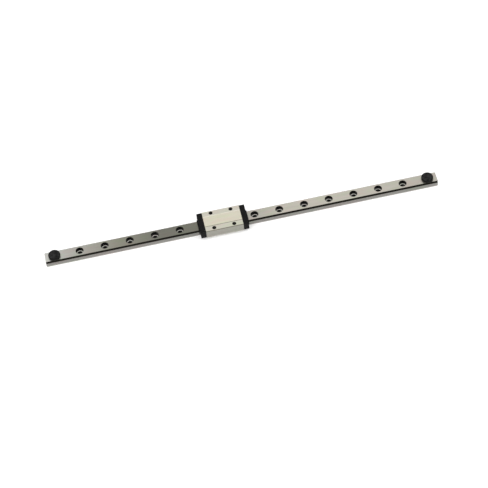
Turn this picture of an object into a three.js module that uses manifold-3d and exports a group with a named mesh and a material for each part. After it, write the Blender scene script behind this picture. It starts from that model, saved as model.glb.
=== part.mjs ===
// Miniature linear guide: a profiled rail, a ball-recirculating carriage on it and a push-in stop at each
// end. Millimetres, +X along the rail, +Y across it towards the back, +Z up. The origin is the middle of
// the rail's underside.
import * as THREE from "three";
import { mergeVertices } from "three/addons/utils/BufferGeometryUtils.js";
import Module from "manifold-3d";

const wasm = await Module();
wasm.setup();

// ---------------------------------------------------------------- driving dimensions

const RAIL_LENGTH = 315;
const RAIL_WIDTH = 9;
const RAIL_HEIGHT = 6.5;
const RAIL_EDGE = 0.25; // chamfer along the rail's four long edges
const HOLE_COUNT = 16;
const HOLE_PITCH = 20;
const BORE_RADIUS = 1.75; // clearance for an M3 screw
const COUNTERBORE_RADIUS = 3;
const COUNTERBORE_DEPTH = 3.5;

const BALL_RADIUS = 0.794;
const GROOVE_RADIUS = 0.83; // the track's arc, a little wider than the ball
const TRACK_Y = 4.7; // the loaded ball row's distance from the middle plane
const TRACK_Z = 5;
const TRACK_LIP_Y = 4.35; // where the rail track's arc turns into its lip chamfers
const TRACK_LIP_HALF = 0.95; // half the track's opening in the rail's side
const WIRE_SLOT_Y = 3.1; // bottom of the relief slot behind the track
const WIRE_SLOT_HALF = 0.35;

const BLOCK_LENGTH = 29.9;
const BLOCK_WIDTH = 20;
const BLOCK_TOP = 10;
const BLOCK_BOTTOM = 2;
const BLOCK_EDGE = 0.4;
const LAND_HALF = 4.9; // half the width of the raised land in the middle of the top
const LAND_RISE = 0.14;
const CHANNEL_HALF = 4.9;
const CHANNEL_TOP = 6.9;
const CHANNEL_EDGE = 0.3;
const RETURN_Y = 7.3;
const RETURN_RADIUS = 0.95;
const MOUNT_SPACING_X = 16;
const MOUNT_SPACING_Y = 15;
const MOUNT_RADIUS = 1.25; // drilled for an M3 thread
const MOUNT_MOUTH_RADIUS = 1.6;
const MOUNT_DEPTH = 3;
const MOUNT_TIP = 0.45;
const CARRIAGE_X = -15.5; // where the carriage is parked on the rail

const CAP_LENGTH = 4.3;
const CAP_HALF_WIDTH = 9.8;
const CAP_TOP = 9.7;
const CAP_BOTTOM = 2.2;
const CAP_EDGE = 0.6;
const CAP_CHANNEL_HALF = 4.85;
const CAP_CHANNEL_TOP = 6.85;
const TURN_TUBE_RADIUS = 0.87; // the ball tunnel in the end cap
const TURN_RADIUS = (RETURN_Y - TRACK_Y) / 2;
const TURN_Y = (RETURN_Y + TRACK_Y) / 2;

const GUIDE_POCKET_RADIUS = 0.98;
const GUIDE_POCKET_HALF = 1.15;
const GUIDE_RADIUS = 0.93;
const GUIDE_HALF = 1.1;
const GUIDE_TUBE_RADIUS = 0.85;

const SEAL_LENGTH = 0.7;
const SEAL_HALF_WIDTH = 5.9;
const SEAL_BOTTOM = 2.5;
const SEAL_SHOULDER = 6.4; // where the seal starts to narrow upwards
const SEAL_TOP = 8;
const SEAL_TOP_HALF = 3.3;
const SEAL_GAP = 0.12; // between the lip and the rail
const SEAL_TONGUE_RADIUS = 0.68; // the lip's tongue, which sweeps the track

const PORT_Z = 8.85; // lubrication port in each cap, above the seal
const PORT_RADIUS = 0.45;
const PORT_DEPTH = 2.5;

const SCREW_Y = 7.9;
const SCREW_Z = 7.9;
const SCREW_RADIUS = 0.7;
const SCREW_LENGTH = 6;
const SCREW_HEAD_RADIUS = 1.3;
const SCREW_HEAD_HEIGHT = 0.9;
const SCREW_CROSS_WIDTH = 0.35;
const SCREW_CROSS_LENGTH = 1.5;
const SCREW_CROSS_DEPTH = 0.45;
const SCREW_HOLE_RADIUS = 0.75;
const SCREW_HOLE_DEPTH = 3.6;
const SCREW_CLEARANCE_RADIUS = 0.85;
const SCREW_RECESS_RADIUS = 1.45;

const WIRE_RADIUS = 0.18;
const WIRE_Y = 3.55;
const WIRE_LEG_X = 17.9; // the bent ends' distance from the carriage's middle
const WIRE_LEG_END_Y = 5.5;
const WIRE_POCKET_DEPTH_Y = 5.8;

const ROW_BALLS = 18;
const ROW_PITCH = 1.608;
const TURN_BALLS = 3;
const TURN_STEP = 1.32; // angle between neighbouring balls in a turn, radians
const LINK_RADIUS = 0.12; // the thin link that keeps one row a single solid

const STOP_HEAD_RADIUS = 4.75;
const STOP_HEAD_HEIGHT = 2.2;
const STOP_HEAD_EDGE = 0.45;
const STOP_DOME = 0.2;
const STOP_COLLAR_RADIUS = 2.85;
const STOP_STEM_RADIUS = 1.6;
const STOP_STEM_BOTTOM = 0.6;
const STOP_SHOULDER_GAP = 0.1;

const OVERSHOOT = 1; // how far a cutting tool runs past the face that it opens

// Flat sides round a whole circle, and steps along a drawn arc
const HOLE_SIDES = 20;
const STOP_SIDES = 28;
const BORE_SIDES = 12;
const POCKET_SIDES = 16;
const HEAD_SIDES = 18;
const SHANK_SIDES = 10;
const WIRE_SIDES = 8;
const ROW_SIDES = 6;
const ROW_STEPS = 4;
const BALL_SIDES = 8;
const BALL_RINGS = 6;
const RING_SIDES = 20;
const TUBE_SIDES = 10;
const ARC_STEPS = 5;
const RAIL_ARC_STEPS = 3;
const LINK_ARC_STEPS = 3;

// ---------------------------------------------------------------- materials

function finish(color, roughness, metalness) {
  return new THREE.MeshStandardMaterial({ color, roughness, metalness });
}

const RAIL_STEEL = finish(0xaba99e, 0.35, 1);
const BLOCK_STEEL = finish(0xd5cfbf, 0.4, 1);
const CAP_PLASTIC = finish(0x191919, 0.6, 0);
const GUIDE_PLASTIC = finish(0x2b2b2d, 0.55, 0);
const SEAL_RUBBER = finish(0x1c1c1c, 0.8, 0);
const STOP_RUBBER = finish(0x1e1e1e, 0.85, 0);
const SCREW_STEEL = finish(0x8c8c8c, 0.35, 1);
const WIRE_STEEL = finish(0xb4b4b4, 0.3, 1);
const BALL_STEEL = finish(0xd8d8d8, 0.1, 1);

// ---------------------------------------------------------------- solids and meshes

// A closed geometry as a manifold-3d solid, which can be joined and cut.
function solid(geometry) {
  const bare = geometry.clone();
  bare.deleteAttribute("normal");
  bare.deleteAttribute("uv");
  const merged = mergeVertices(bare, 1e-5);
  return new wasm.Manifold(
    new wasm.Mesh({
      numProp: 3,
      vertProperties: merged.attributes.position.array,
      triVerts: new Uint32Array(merged.index.array),
    }),
  );
}

function cut(body, tools) {
  return tools.reduce((left, tool) => left.subtract(tool), body);
}

function join(bodies) {
  return bodies.reduce((all, body) => all.add(body));
}

function mesh(name, body, material) {
  const made = body.getMesh();
  const geometry = new THREE.BufferGeometry();
  geometry.setAttribute("position", new THREE.BufferAttribute(made.vertProperties, 3));
  geometry.setIndex(new THREE.BufferAttribute(made.triVerts, 1));
  geometry.computeVertexNormals();
  const result = new THREE.Mesh(geometry, material);
  result.name = name;
  return result;
}

// A section drawn in the Y-Z plane, extruded along X between two places.
function extrudeAlongX(section, from, to, curveSegments = ARC_STEPS) {
  const start = Math.min(from, to);
  const depth = Math.abs(to - from);
  const geometry = new THREE.ExtrudeGeometry(section, { depth, bevelEnabled: false, curveSegments });
  const axes = new THREE.Matrix4().makeBasis(
    new THREE.Vector3(0, 1, 0),
    new THREE.Vector3(0, 0, 1),
    new THREE.Vector3(1, 0, 0),
  );
  return solid(geometry.applyMatrix4(axes).translate(start, 0, 0));
}

function box(low, high) {
  const size = high.map((value, i) => value - low[i]);
  const middle = high.map((value, i) => (value + low[i]) / 2);
  return solid(new THREE.BoxGeometry(...size).translate(...middle));
}

// A round bar along X between two places.
function barAlongX(radius, from, to, y, z, segments = BORE_SIDES) {
  const length = Math.abs(to - from);
  const geometry = new THREE.CylinderGeometry(radius, radius, length, segments);
  return solid(geometry.rotateZ(-Math.PI / 2).translate((from + to) / 2, y, z));
}

// A body turned about a vertical axis, from a profile of [radius, height] points that starts and ends at
// radius 0 and runs upwards.
function turned(profile, x, y, segments) {
  const points = profile.map(([radius, height]) => new THREE.Vector2(radius, height));
  const geometry = new THREE.LatheGeometry(points, segments);
  return solid(geometry.rotateX(Math.PI / 2).translate(x, y, 0));
}

// ---------------------------------------------------------------- rail

// The rail's ball track on one side: an arc with chamfered lips and a relief slot behind it. It is drawn
// upwards on side 1 and downwards on side -1, so that it fits an outline drawn anticlockwise.
function drawRailTrack(outline, side) {
  const base = side > 0 ? Math.PI : 0;
  const lip = Math.acos((TRACK_Y - TRACK_LIP_Y) / GROOVE_RADIUS);
  const slot = Math.asin(WIRE_SLOT_HALF / GROOVE_RADIUS);
  const y = side * TRACK_Y;
  outline.lineTo(side * (RAIL_WIDTH / 2), TRACK_Z - side * TRACK_LIP_HALF);
  outline.absarc(y, TRACK_Z, GROOVE_RADIUS, base + lip, base + slot, true);
  outline.lineTo(side * WIRE_SLOT_Y, TRACK_Z - side * WIRE_SLOT_HALF);
  outline.lineTo(side * WIRE_SLOT_Y, TRACK_Z + side * WIRE_SLOT_HALF);
  outline.absarc(y, TRACK_Z, GROOVE_RADIUS, base - slot, base - lip, true);
  outline.lineTo(side * (RAIL_WIDTH / 2), TRACK_Z + side * TRACK_LIP_HALF);
}

function railSection() {
  const half = RAIL_WIDTH / 2;
  const outline = new THREE.Shape();
  outline.moveTo(RAIL_EDGE - half, 0);
  outline.lineTo(half - RAIL_EDGE, 0);
  outline.lineTo(half, RAIL_EDGE);
  drawRailTrack(outline, 1);
  outline.lineTo(half, RAIL_HEIGHT - RAIL_EDGE);
  outline.lineTo(half - RAIL_EDGE, RAIL_HEIGHT);
  outline.lineTo(RAIL_EDGE - half, RAIL_HEIGHT);
  outline.lineTo(-half, RAIL_HEIGHT - RAIL_EDGE);
  drawRailTrack(outline, -1);
  outline.lineTo(-half, RAIL_EDGE);
  outline.closePath();
  return outline;
}

function holePlace(i) {
  return (i - (HOLE_COUNT - 1) / 2) * HOLE_PITCH;
}

function screwHoleTool(x) {
  const seat = RAIL_HEIGHT - COUNTERBORE_DEPTH;
  const bore = [
    [0, -OVERSHOOT],
    [BORE_RADIUS, -OVERSHOOT],
    [BORE_RADIUS, seat],
    [COUNTERBORE_RADIUS, seat],
    [COUNTERBORE_RADIUS, RAIL_HEIGHT + OVERSHOOT],
    [0, RAIL_HEIGHT + OVERSHOOT],
  ];
  return turned(bore, x, 0, HOLE_SIDES);
}

function makeRail() {
  const bar = extrudeAlongX(railSection(), -RAIL_LENGTH / 2, RAIL_LENGTH / 2, RAIL_ARC_STEPS);
  const holes = Array.from({ length: HOLE_COUNT }, (_, i) => screwHoleTool(holePlace(i)));
  return mesh("rail", cut(bar, holes), RAIL_STEEL);
}

// ---------------------------------------------------------------- end stops

// A rubber plug: the head lies on the rail and the stem fills the last screw hole.
function makeStop(name, x) {
  const seat = RAIL_HEIGHT - COUNTERBORE_DEPTH + STOP_SHOULDER_GAP;
  const rim = RAIL_HEIGHT + STOP_HEAD_HEIGHT - STOP_DOME;
  const profile = [
    [0, STOP_STEM_BOTTOM],
    [STOP_STEM_RADIUS, STOP_STEM_BOTTOM],
    [STOP_STEM_RADIUS, seat],
    [STOP_COLLAR_RADIUS, seat],
    [STOP_COLLAR_RADIUS, RAIL_HEIGHT],
    [STOP_HEAD_RADIUS - STOP_HEAD_EDGE / 3, RAIL_HEIGHT],
    [STOP_HEAD_RADIUS, RAIL_HEIGHT + STOP_HEAD_EDGE / 3],
    [STOP_HEAD_RADIUS, rim - STOP_HEAD_EDGE],
    [STOP_HEAD_RADIUS - STOP_HEAD_EDGE / 3, rim - STOP_HEAD_EDGE / 3],
    [STOP_HEAD_RADIUS - STOP_HEAD_EDGE, rim],
    [STOP_HEAD_RADIUS / 2, rim + STOP_DOME * 0.75],
    [0, rim + STOP_DOME],
  ];
  return mesh(name, turned(profile, x, 0, STOP_SIDES), STOP_RUBBER);
}

// ---------------------------------------------------------------- carriage block

function drawBlockTrack(outline, side) {
  const opening = Math.acos((CHANNEL_HALF - TRACK_Y) / GROOVE_RADIUS);
  const base = side > 0 ? 0 : Math.PI;
  outline.absarc(side * TRACK_Y, TRACK_Z, GROOVE_RADIUS, base + opening, base - opening, true);
}

function roundHole(y, z, radius) {
  const hole = new THREE.Path();
  hole.absarc(y, z, radius, 0, 2 * Math.PI, true);
  return hole;
}

function blockSection() {
  const half = BLOCK_WIDTH / 2;
  const outer = BLOCK_TOP - LAND_RISE;
  const outline = new THREE.Shape();
  outline.moveTo(BLOCK_EDGE - half, BLOCK_BOTTOM);
  outline.lineTo(-CHANNEL_HALF - CHANNEL_EDGE, BLOCK_BOTTOM);
  outline.lineTo(-CHANNEL_HALF, BLOCK_BOTTOM + CHANNEL_EDGE);
  drawBlockTrack(outline, -1);
  outline.lineTo(-CHANNEL_HALF, CHANNEL_TOP - CHANNEL_EDGE);
  outline.lineTo(CHANNEL_EDGE - CHANNEL_HALF, CHANNEL_TOP);
  outline.lineTo(CHANNEL_HALF - CHANNEL_EDGE, CHANNEL_TOP);
  outline.lineTo(CHANNEL_HALF, CHANNEL_TOP - CHANNEL_EDGE);
  drawBlockTrack(outline, 1);
  outline.lineTo(CHANNEL_HALF, BLOCK_BOTTOM + CHANNEL_EDGE);
  outline.lineTo(CHANNEL_HALF + CHANNEL_EDGE, BLOCK_BOTTOM);
  outline.lineTo(half - BLOCK_EDGE, BLOCK_BOTTOM);
  outline.lineTo(half, BLOCK_BOTTOM + BLOCK_EDGE);
  outline.lineTo(half, outer - BLOCK_EDGE);
  outline.lineTo(half - BLOCK_EDGE, outer);
  outline.lineTo(LAND_HALF + 2 * LAND_RISE, outer);
  outline.lineTo(LAND_HALF, BLOCK_TOP);
  outline.lineTo(-LAND_HALF, BLOCK_TOP);
  outline.lineTo(-LAND_HALF - 2 * LAND_RISE, outer);
  outline.lineTo(BLOCK_EDGE - half, outer);
  outline.lineTo(-half, outer - BLOCK_EDGE);
  outline.lineTo(-half, BLOCK_BOTTOM + BLOCK_EDGE);
  outline.closePath();
  outline.holes.push(roundHole(-RETURN_Y, TRACK_Z, RETURN_RADIUS));
  outline.holes.push(roundHole(RETURN_Y, TRACK_Z, RETURN_RADIUS));
  return outline;
}

function mountHoleTool(x, y) {
  const face = BLOCK_TOP - LAND_RISE;
  const floor = BLOCK_TOP - MOUNT_DEPTH;
  const mouth = MOUNT_MOUTH_RADIUS - MOUNT_RADIUS;
  const profile = [
    [0, floor - MOUNT_TIP],
    [MOUNT_RADIUS, floor],
    [MOUNT_RADIUS, face - mouth],
    [MOUNT_MOUTH_RADIUS, face],
    [MOUNT_MOUTH_RADIUS, face + OVERSHOOT],
    [0, face + OVERSHOOT],
  ];
  return turned(profile, x, y, HOLE_SIDES);
}

function makeBlock() {
  const end = BLOCK_LENGTH / 2;
  const tools = [];
  for (const sideX of [-1, 1]) {
    for (const sideY of [-1, 1]) {
      tools.push(mountHoleTool((sideX * MOUNT_SPACING_X) / 2, (sideY * MOUNT_SPACING_Y) / 2));
      const from = sideX * (end - SCREW_HOLE_DEPTH);
      const to = sideX * (end + OVERSHOOT);
      tools.push(barAlongX(SCREW_HOLE_RADIUS, from, to, sideY * SCREW_Y, SCREW_Z));
    }
  }
  return mesh("carriage_block", cut(extrudeAlongX(blockSection(), -end, end), tools), BLOCK_STEEL);
}

// ---------------------------------------------------------------- end caps, guides and seals

function capSection() {
  const outline = new THREE.Shape();
  outline.moveTo(CAP_EDGE - CAP_HALF_WIDTH, CAP_BOTTOM);
  outline.lineTo(-CAP_CHANNEL_HALF, CAP_BOTTOM);
  outline.lineTo(-CAP_CHANNEL_HALF, CAP_CHANNEL_TOP - CHANNEL_EDGE);
  outline.lineTo(CHANNEL_EDGE - CAP_CHANNEL_HALF, CAP_CHANNEL_TOP);
  outline.lineTo(CAP_CHANNEL_HALF - CHANNEL_EDGE, CAP_CHANNEL_TOP);
  outline.lineTo(CAP_CHANNEL_HALF, CAP_CHANNEL_TOP - CHANNEL_EDGE);
  outline.lineTo(CAP_CHANNEL_HALF, CAP_BOTTOM);
  outline.lineTo(CAP_HALF_WIDTH - CAP_EDGE, CAP_BOTTOM);
  outline.lineTo(CAP_HALF_WIDTH, CAP_BOTTOM + CAP_EDGE);
  outline.lineTo(CAP_HALF_WIDTH, CAP_TOP - CAP_EDGE);
  outline.lineTo(CAP_HALF_WIDTH - CAP_EDGE, CAP_TOP);
  outline.lineTo(CAP_EDGE - CAP_HALF_WIDTH, CAP_TOP);
  outline.lineTo(-CAP_HALF_WIDTH, CAP_TOP - CAP_EDGE);
  outline.lineTo(-CAP_HALF_WIDTH, CAP_BOTTOM + CAP_EDGE);
  outline.closePath();
  return outline;
}

// The ring whose outer half is the tunnel that turns the balls round.
function turnTool(sideX, sideY, tubeRadius) {
  const ring = new THREE.TorusGeometry(TURN_RADIUS, tubeRadius, TUBE_SIDES, RING_SIDES);
  return solid(ring.translate((sideX * BLOCK_LENGTH) / 2, sideY * TURN_Y, TRACK_Z));
}

function guidePocketTool(sideX, sideY) {
  const height = 2 * GUIDE_POCKET_HALF;
  const post = new THREE.CylinderGeometry(GUIDE_POCKET_RADIUS, GUIDE_POCKET_RADIUS, height, POCKET_SIDES);
  return solid(post.rotateX(Math.PI / 2).translate((sideX * BLOCK_LENGTH) / 2, sideY * TURN_Y, TRACK_Z));
}

function wirePocketTool(sideX, sideY) {
  const legX = sideX * WIRE_LEG_X;
  const walls = [sideY * (CAP_CHANNEL_HALF - OVERSHOOT / 2), sideY * WIRE_POCKET_DEPTH_Y];
  const low = [legX - WIRE_SLOT_HALF, Math.min(...walls), TRACK_Z - WIRE_SLOT_HALF];
  const high = [legX + WIRE_SLOT_HALF, Math.max(...walls), TRACK_Z + WIRE_SLOT_HALF];
  return box(low, high);
}

function makeCap(name, sideX) {
  const inner = (sideX * BLOCK_LENGTH) / 2;
  const outer = inner + sideX * CAP_LENGTH;
  const beyond = outer + sideX * OVERSHOOT;
  const tools = [barAlongX(PORT_RADIUS, outer - sideX * PORT_DEPTH, beyond, 0, PORT_Z)];
  for (const sideY of [-1, 1]) {
    const y = sideY * SCREW_Y;
    tools.push(turnTool(sideX, sideY, TURN_TUBE_RADIUS));
    tools.push(guidePocketTool(sideX, sideY));
    tools.push(wirePocketTool(sideX, sideY));
    tools.push(barAlongX(SCREW_CLEARANCE_RADIUS, inner - sideX * OVERSHOOT, beyond, y, SCREW_Z));
    const seat = outer - sideX * SCREW_HEAD_HEIGHT;
    tools.push(barAlongX(SCREW_RECESS_RADIUS, seat, beyond, y, SCREW_Z, HEAD_SIDES));
  }
  return mesh(name, cut(extrudeAlongX(capSection(), inner, outer), tools), CAP_PLASTIC);
}

// The half spool inside a turn, which the balls run round.
function makeGuide(name, sideX, sideY) {
  const half = new THREE.Shape();
  const start = sideX > 0 ? -Math.PI / 2 : Math.PI / 2;
  half.absarc(0, 0, GUIDE_RADIUS, start, start + Math.PI, false);
  half.closePath();
  const settings = { depth: 2 * GUIDE_HALF, bevelEnabled: false, curveSegments: ARC_STEPS };
  const spool = new THREE.ExtrudeGeometry(half, settings);
  spool.translate((sideX * BLOCK_LENGTH) / 2, sideY * TURN_Y, TRACK_Z - GUIDE_HALF);
  return mesh(name, cut(solid(spool), [turnTool(sideX, sideY, GUIDE_TUBE_RADIUS)]), GUIDE_PLASTIC);
}

function drawSealTongue(outline, side) {
  const wall = RAIL_WIDTH / 2 + SEAL_GAP;
  const angle = Math.acos((TRACK_Y - wall) / SEAL_TONGUE_RADIUS);
  const base = side > 0 ? Math.PI : 0;
  outline.absarc(side * TRACK_Y, TRACK_Z, SEAL_TONGUE_RADIUS, base - angle, base + angle, false);
}

function sealSection() {
  const wall = RAIL_WIDTH / 2 + SEAL_GAP;
  const roof = RAIL_HEIGHT + SEAL_GAP;
  const outline = new THREE.Shape();
  outline.moveTo(-SEAL_HALF_WIDTH, SEAL_BOTTOM);
  outline.lineTo(-wall, SEAL_BOTTOM);
  drawSealTongue(outline, -1);
  outline.lineTo(-wall, roof - RAIL_EDGE);
  outline.lineTo(RAIL_EDGE - wall, roof);
  outline.lineTo(wall - RAIL_EDGE, roof);
  outline.lineTo(wall, roof - RAIL_EDGE);
  drawSealTongue(outline, 1);
  outline.lineTo(wall, SEAL_BOTTOM);
  outline.lineTo(SEAL_HALF_WIDTH, SEAL_BOTTOM);
  outline.lineTo(SEAL_HALF_WIDTH, SEAL_SHOULDER);
  outline.lineTo(SEAL_TOP_HALF, SEAL_TOP);
  outline.lineTo(-SEAL_TOP_HALF, SEAL_TOP);
  outline.lineTo(-SEAL_HALF_WIDTH, SEAL_SHOULDER);
  outline.closePath();
  return outline;
}

function makeSeal(name, sideX) {
  const inner = sideX * (BLOCK_LENGTH / 2 + CAP_LENGTH);
  return mesh(name, extrudeAlongX(sealSection(), inner, inner + sideX * SEAL_LENGTH), SEAL_RUBBER);
}

// ---------------------------------------------------------------- cap screws and retainer wires

function makeCapScrew(name, sideX, sideY) {
  const face = sideX * (BLOCK_LENGTH / 2 + CAP_LENGTH);
  const seat = face - sideX * SCREW_HEAD_HEIGHT;
  const y = sideY * SCREW_Y;
  const head = barAlongX(SCREW_HEAD_RADIUS, seat, face, y, SCREW_Z, HEAD_SIDES);
  const shank = barAlongX(SCREW_RADIUS, seat - sideX * SCREW_LENGTH, seat, y, SCREW_Z, SHANK_SIDES);
  const depths = [face - sideX * SCREW_CROSS_DEPTH, face + sideX * OVERSHOOT];
  const crossBar = (halfY, halfZ) =>
    box(
      [Math.min(...depths), y - halfY, SCREW_Z - halfZ],
      [Math.max(...depths), y + halfY, SCREW_Z + halfZ],
    );
  const upright = crossBar(SCREW_CROSS_WIDTH / 2, SCREW_CROSS_LENGTH / 2);
  const level = crossBar(SCREW_CROSS_LENGTH / 2, SCREW_CROSS_WIDTH / 2);
  return mesh(name, cut(join([head, shank]), [upright, level]), SCREW_STEEL);
}

// A steel wire that keeps one loaded row in the carriage: it lies behind the balls and its ends turn into
// the end caps.
function makeRetainerWire(name, sideY) {
  const y = sideY * WIRE_Y;
  const legLength = WIRE_LEG_END_Y - WIRE_Y;
  const pieces = [barAlongX(WIRE_RADIUS, -WIRE_LEG_X, WIRE_LEG_X, y, TRACK_Z, WIRE_SIDES)];
  for (const sideX of [-1, 1]) {
    const x = sideX * WIRE_LEG_X;
    const leg = new THREE.CylinderGeometry(WIRE_RADIUS, WIRE_RADIUS, legLength, WIRE_SIDES);
    const elbow = new THREE.SphereGeometry(WIRE_RADIUS, BALL_SIDES, BALL_RINGS);
    pieces.push(solid(leg.translate(x, y + (sideY * legLength) / 2, TRACK_Z)));
    pieces.push(solid(elbow.translate(x, y, TRACK_Z)));
  }
  return mesh(name, join(pieces), WIRE_STEEL);
}

// ---------------------------------------------------------------- balls

// A straight row of balls with thin links between them, turned about X.
function makeBallRow(name, y) {
  const edge = Math.asin(LINK_RADIUS / BALL_RADIUS);
  const first = (-(ROW_BALLS - 1) / 2) * ROW_PITCH;
  const profile = [new THREE.Vector2(0, first - BALL_RADIUS)];
  for (let ball = 0; ball < ROW_BALLS; ball++) {
    for (let step = 0; step <= ROW_STEPS; step++) {
      const angle = edge + ((Math.PI - 2 * edge) * step) / ROW_STEPS;
      const along = first + ball * ROW_PITCH - BALL_RADIUS * Math.cos(angle);
      profile.push(new THREE.Vector2(BALL_RADIUS * Math.sin(angle), along));
    }
  }
  profile.push(new THREE.Vector2(0, BALL_RADIUS - first));
  const row = new THREE.LatheGeometry(profile, ROW_SIDES);
  return mesh(name, solid(row.rotateZ(-Math.PI / 2).translate(0, y, TRACK_Z)), BALL_STEEL);
}

// The balls inside one turn, with thin links between them.
function makeTurnBalls(name, sideX, sideY) {
  const centre = new THREE.Vector3((sideX * BLOCK_LENGTH) / 2, sideY * TURN_Y, TRACK_Z);
  const places = Array.from({ length: TURN_BALLS }, (_, i) => {
    const angle = (i - (TURN_BALLS - 1) / 2) * TURN_STEP;
    return new THREE.Vector3(sideX * Math.cos(angle), Math.sin(angle), 0)
      .multiplyScalar(TURN_RADIUS)
      .add(centre);
  });
  const bodies = places.map(({ x, y, z }) => {
    const ball = new THREE.SphereGeometry(BALL_RADIUS, BALL_SIDES, BALL_RINGS);
    return solid(ball.rotateX(Math.PI / 2).translate(x, y, z));
  });
  for (let i = 1; i < places.length; i++) {
    const link = new THREE.LineCurve3(places[i - 1], places[i]);
    const section = new THREE.Shape().absarc(0, 0, LINK_RADIUS, 0, 2 * Math.PI, false);
    const settings = { steps: 1, extrudePath: link, curveSegments: LINK_ARC_STEPS };
    bodies.push(solid(new THREE.ExtrudeGeometry(section, settings)));
  }
  return mesh(name, join(bodies), BALL_STEEL);
}

// ---------------------------------------------------------------- assembly

const ENDS = { left: -1, right: 1 };
const SIDES = { front: -1, back: 1 };

function makeCarriage() {
  const carriage = new THREE.Group();
  carriage.position.x = CARRIAGE_X;
  carriage.add(makeBlock());
  for (const [end, sideX] of Object.entries(ENDS)) {
    carriage.add(makeCap(`end_cap_${end}`, sideX));
    carriage.add(makeSeal(`end_seal_${end}`, sideX));
    for (const [side, sideY] of Object.entries(SIDES)) {
      carriage.add(makeCapScrew(`cap_screw_${end}_${side}`, sideX, sideY));
      carriage.add(makeGuide(`return_guide_${end}_${side}`, sideX, sideY));
      carriage.add(makeTurnBalls(`turn_balls_${end}_${side}`, sideX, sideY));
    }
  }
  for (const [side, sideY] of Object.entries(SIDES)) {
    carriage.add(makeRetainerWire(`retainer_wire_${side}`, sideY));
    carriage.add(makeBallRow(`loaded_balls_${side}`, sideY * TRACK_Y));
    carriage.add(makeBallRow(`return_balls_${side}`, sideY * RETURN_Y));
  }
  return carriage;
}

const guide = new THREE.Group();
guide.add(makeRail());
guide.add(makeStop("end_stop_left", holePlace(0)));
guide.add(makeStop("end_stop_right", holePlace(HOLE_COUNT - 1)));
guide.add(makeCarriage());

export default guide;
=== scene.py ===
import math

import bmesh
import bpy
from mathutils import Matrix, Vector, noise


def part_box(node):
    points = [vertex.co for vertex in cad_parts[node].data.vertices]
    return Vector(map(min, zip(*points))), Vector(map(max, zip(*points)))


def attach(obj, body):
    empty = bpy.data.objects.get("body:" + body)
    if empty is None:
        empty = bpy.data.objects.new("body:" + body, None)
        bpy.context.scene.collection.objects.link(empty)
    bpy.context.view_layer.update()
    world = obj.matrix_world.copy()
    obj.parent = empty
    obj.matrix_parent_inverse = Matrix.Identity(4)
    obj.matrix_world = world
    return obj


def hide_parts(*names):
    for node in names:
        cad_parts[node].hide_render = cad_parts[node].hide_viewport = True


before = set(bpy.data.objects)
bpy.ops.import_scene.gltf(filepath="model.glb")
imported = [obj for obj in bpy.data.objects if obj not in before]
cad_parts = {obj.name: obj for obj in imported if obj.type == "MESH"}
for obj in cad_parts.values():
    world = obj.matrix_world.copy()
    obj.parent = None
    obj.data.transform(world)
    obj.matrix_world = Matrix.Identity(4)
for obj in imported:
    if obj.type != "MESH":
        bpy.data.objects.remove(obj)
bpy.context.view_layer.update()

# The looks of a miniature linear guide. Shapes are drawn in millimetres and scaled to metres as they
# become objects. +X runs along the rail, +Y to its back and +Z up.
MM = 0.001


def corners(node):
    """A CAD node's lowest and highest corner, in millimetres."""
    low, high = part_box(node)
    return Vector(low) / MM, Vector(high) / MM


RAIL_LOW, RAIL_HIGH = corners("rail")
BLOCK_LOW, BLOCK_HIGH = corners("carriage_block")
CARRIAGE_X = (BLOCK_LOW.x + BLOCK_HIGH.x) / 2
BLOCK_END = (BLOCK_HIGH.x - BLOCK_LOW.x) / 2

# Sizes are in millimetres, and where parts fit together they are the CAD model's.

# Rail
HOLE_COUNT = 16
HOLE_PITCH = 20
BORE_RADIUS = 1.75
COUNTERBORE_RADIUS = 3
COUNTERBORE_DEPTH = 3.5
RIM_BREAK = 0.15
SEAT_MARGIN = 0.35
TRACK_Y = 4.7
TRACK_Z = 5
GROOVE_RADIUS = 0.83
TRACK_LIP_Y = 4.35
TRACK_LIP_HALF = 0.95
WIRE_SLOT_Y = 3.1
WIRE_SLOT_HALF = 0.35
RAIL_EDGE = 0.25
RAIL_TOP_ROUNDING = 0.14
RAIL_END_BREAK = 0.05

# Stops
STOP_SHANK_RADIUS = 1.6
STOP_PLUG_RADIUS = 2.85
STOP_DOME = 0.2
STOP_EDGE = 0.5

# Block
CHANNEL_HALF = 4.9
CHANNEL_TOP = 6.9
RETURN_Y = 7.3
RETURN_RADIUS = 0.95
LAND_HALF = 4.9
LAND_RISE = 0.14
LAND_STRIP = 0.5
BLOCK_CHAMFER = 0.45
BLOCK_EDGE = 0.3
BLOCK_END_BREAK = 0.07
MOUNT_SPACING = (16, 15)
MOUNT_DEPTH = 3
THREAD_MINOR = 1.23
THREAD_MAJOR = 1.5
THREAD_PITCH = 0.5
THREAD_MOUTH = 1.62
THREAD_TIP = 0.4
THREAD_ROWS = 48
THREAD_SEGMENTS = 40
TAP_RADIUS = 0.75
TAP_DEPTH = 3.6

# Cap screws
SCREW_Y = 7.9
SCREW_Z = 7.9
SCREW_HEAD_RADIUS = 1.3
SCREW_HEAD_HEIGHT = 0.9
SCREW_SHANK_RADIUS = 0.7
SCREW_POINT = 0.25
SCREW_RIDGES = 20
RIDGE_STEP = 0.25
RIDGE_DEPTH = 0.12
CROSS_LONG = 0.75
CROSS_NARROW = 0.16
CROSS_DEPTH = 0.5

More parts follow.
